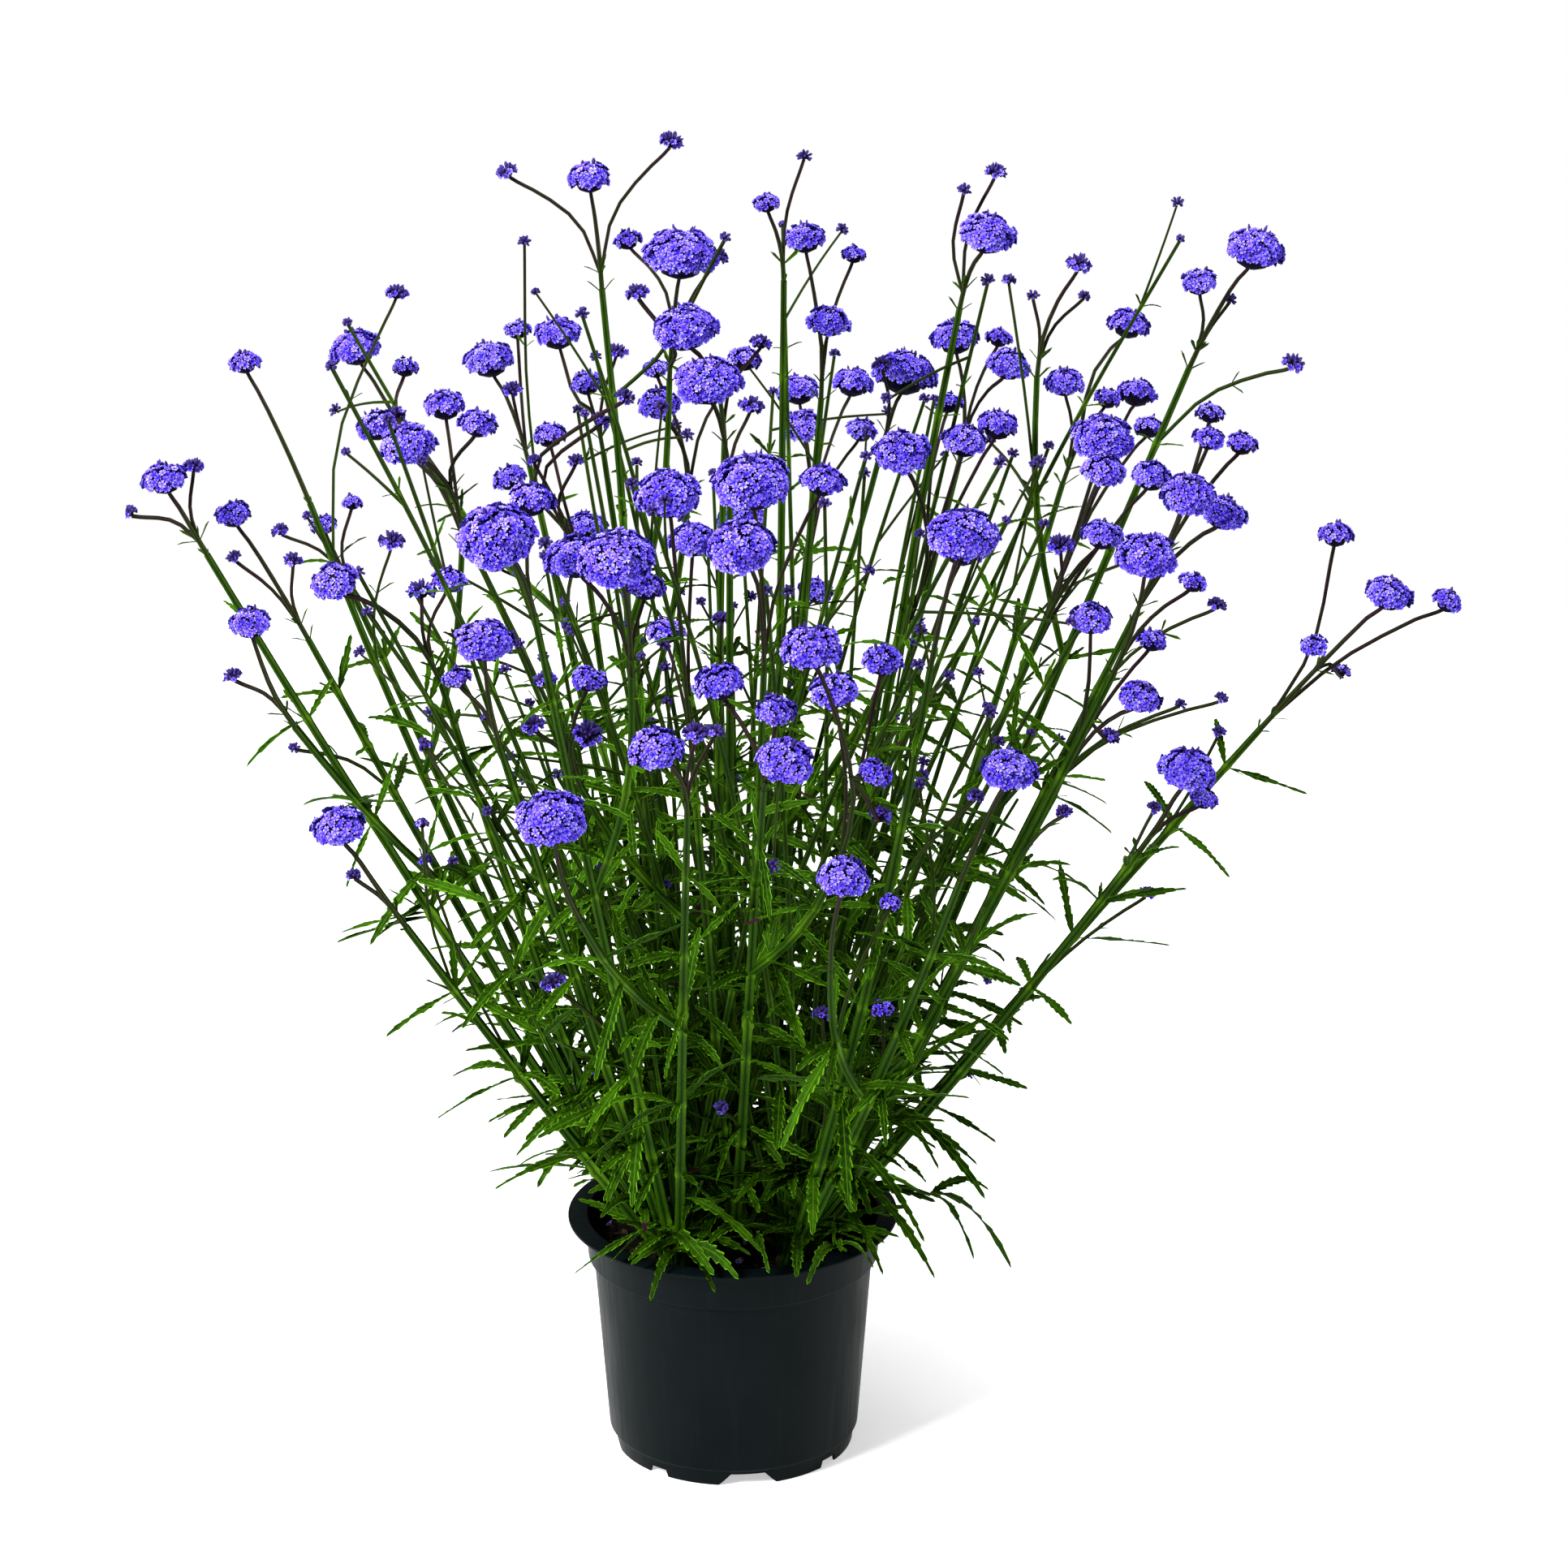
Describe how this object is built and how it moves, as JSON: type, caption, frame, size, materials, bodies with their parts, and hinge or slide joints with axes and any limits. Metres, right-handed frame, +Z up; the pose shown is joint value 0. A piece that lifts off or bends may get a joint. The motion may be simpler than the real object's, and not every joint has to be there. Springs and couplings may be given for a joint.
{
  "type": "potted verbena",
  "caption": "Tall bedding verbena in flower: domed violet heads on forked stalks over square green stems and toothed leaves, in a round black nursery pot.",
  "frame": {"origin": "middle of the pot's underside, on the surface that the pot stands on", "axes": "+Z up, -Y towards the plant's front, +X to the right as seen from the front"},
  "size_m": [0.7352, 0.6808, 0.7604],
  "materials": {
    "pot_plastic": "satin black",
    "potting_soil": "crumbly, dark brown",
    "green_growth": "fresh green, finely ridged",
    "violet_growth": "soft blue-violet petals"
  },
  "bodies": {
    "root": {"pot": "pot_plastic", "soil": "potting_soil", "stems_1": "green_growth", "stems_2": "green_growth", "stems_3": "green_growth", "stems_4": "green_growth", "stems_5": "green_growth", "stems_6": "green_growth", "stems_7": "green_growth", "stems_8": "green_growth", "truss_01": "violet_growth", "truss_02": "violet_growth", "truss_03": "violet_growth", "truss_04": "violet_growth", "truss_05": "violet_growth", "truss_06": "violet_growth", "truss_07": "violet_growth", "truss_08": "violet_growth", "truss_09": "violet_growth", "truss_10": "violet_growth", "truss_11": "violet_growth", "truss_12": "violet_growth", "truss_13": "violet_growth", "truss_14": "violet_growth", "truss_15": "violet_growth", "truss_16": "violet_growth", "truss_17": "violet_growth", "truss_18": "violet_growth", "truss_19": "violet_growth", "truss_20": "violet_growth", "truss_21": "violet_growth", "truss_22": "violet_growth", "truss_23": "violet_growth", "truss_24": "violet_growth", "truss_25": "violet_growth", "truss_26": "violet_growth", "truss_27": "violet_growth", "truss_28": "violet_growth", "truss_29": "violet_growth", "truss_30": "violet_growth", "truss_31": "violet_growth", "truss_32": "violet_growth", "truss_33": "violet_growth", "truss_34": "violet_growth", "truss_35": "violet_growth", "truss_36": "violet_growth", "truss_37": "violet_growth", "truss_38": "violet_growth", "truss_39": "violet_growth", "truss_40": "violet_growth", "truss_41": "violet_growth", "truss_42": "violet_growth", "truss_43": "violet_growth", "truss_44": "violet_growth", "truss_45": "violet_growth", "truss_46": "violet_growth", "truss_47": "violet_growth", "truss_48": "violet_growth", "truss_49": "violet_growth", "truss_50": "violet_growth"}
  },
  "joints": []
}
